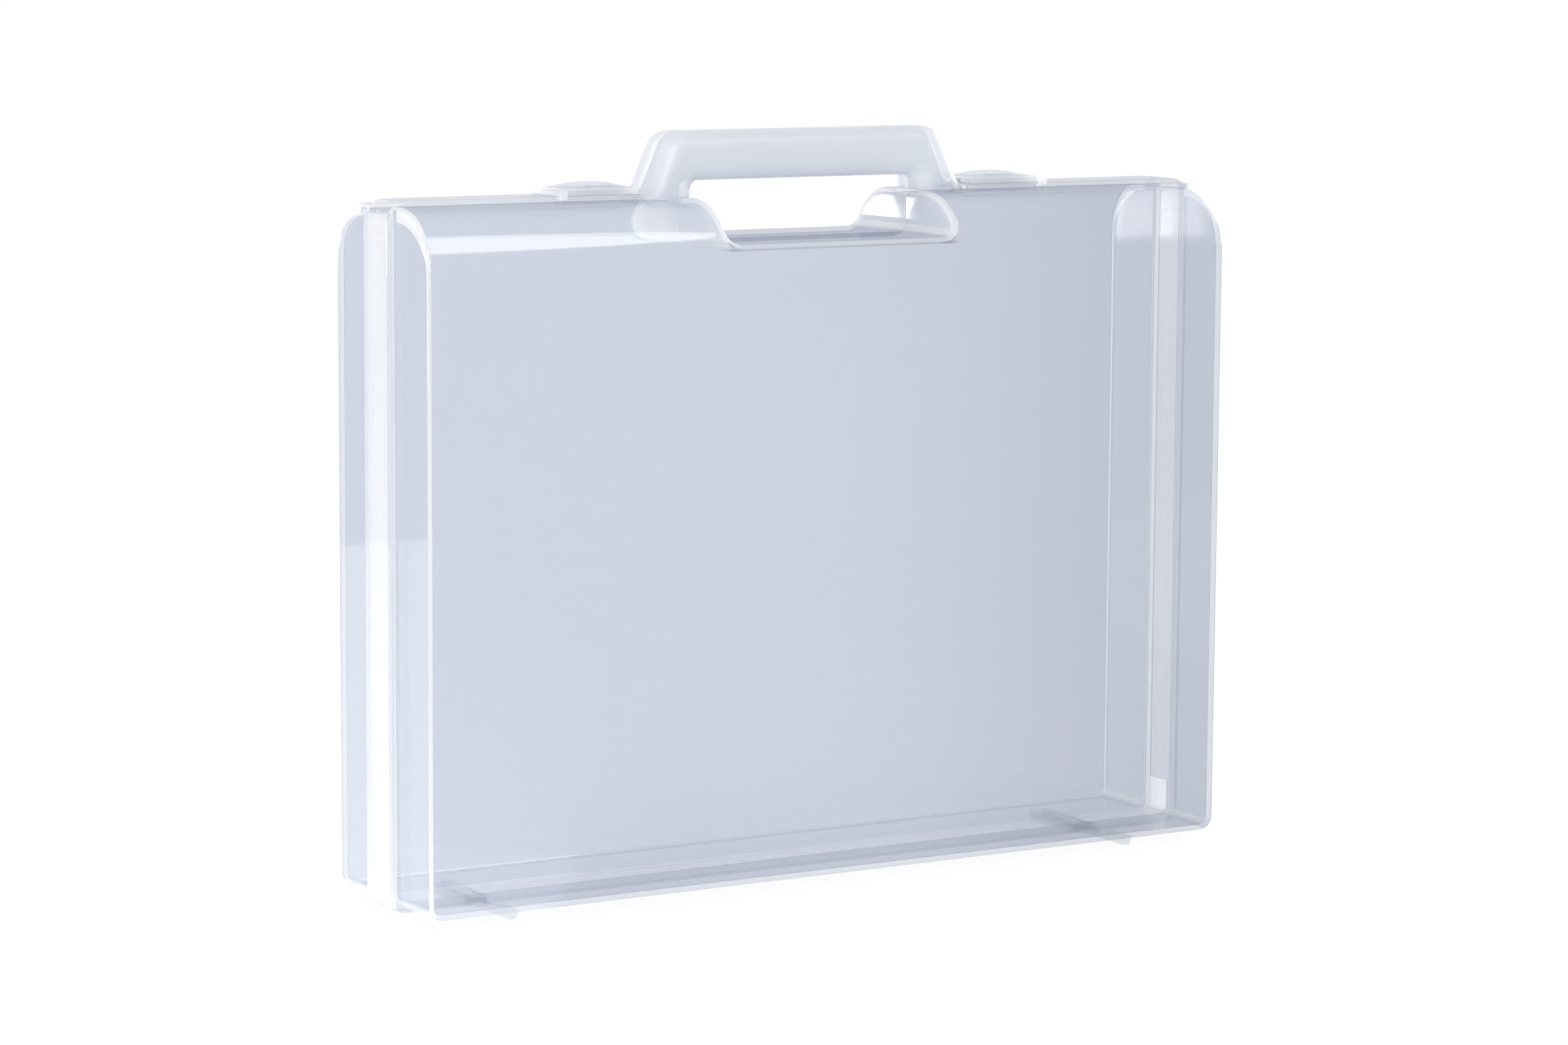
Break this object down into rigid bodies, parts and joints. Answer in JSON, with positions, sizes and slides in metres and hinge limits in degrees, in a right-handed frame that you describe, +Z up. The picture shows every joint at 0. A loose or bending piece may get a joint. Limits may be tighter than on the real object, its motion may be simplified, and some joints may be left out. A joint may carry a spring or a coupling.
{
  "type": "carrying case",
  "caption": "Flat carrying case of clear plastic with rolled top edges, a moulded handle over a hand gap, sliding latches beside it and hinges along the bottom.",
  "frame": {"origin": "middle of the case's outline, on the surface that its hinge plates stand on", "axes": "+X to the right seen from the front, +Y from the front face to the rear face, +Z up through the handle"},
  "size_m": [0.3736, 0.078, 0.3007],
  "materials": {
    "clear_shell": "glossy translucent polypropylene",
    "frosted_handle": "fine frosted texture",
    "clear_latch": "glossy clear",
    "hinge_pin": "smooth milky plastic"
  },
  "bodies": {
    "rear_half": {"rear_shell": "clear_shell", "rear_handle_half": "frosted_handle", "rear_hinge_fork_left": "clear_shell", "rear_hinge_fork_right": "clear_shell", "hinge_pin_left": "hinge_pin", "hinge_pin_right": "hinge_pin", "latch_rail_left": "clear_shell", "latch_rail_right": "clear_shell"},
    "front_half": {"front_shell": "clear_shell", "front_handle_half": "frosted_handle", "front_hinge_lug_left": "clear_shell", "front_hinge_lug_right": "clear_shell"},
    "left_latch": {"latch_plate_left": "clear_latch", "latch_claw_left": "clear_latch", "latch_dome_left": "clear_latch"},
    "right_latch": {"latch_plate_right": "clear_latch", "latch_claw_right": "clear_latch", "latch_dome_right": "clear_latch"}
  },
  "joints": [
    {"name": "case_hinge", "type": "hinge", "parent": "rear_half", "child": "front_half", "pos_m": [0, 0, 0.0015], "axis": [1, 0, 0], "range_deg": [0, 180]},
    {"name": "left_latch_slide", "type": "slide", "parent": "rear_half", "child": "left_latch", "axis": [-1, 0, 0], "range_m": [0, 0.0055]},
    {"name": "right_latch_slide", "type": "slide", "parent": "rear_half", "child": "right_latch", "axis": [1, 0, 0], "range_m": [0, 0.0055]}
  ]
}
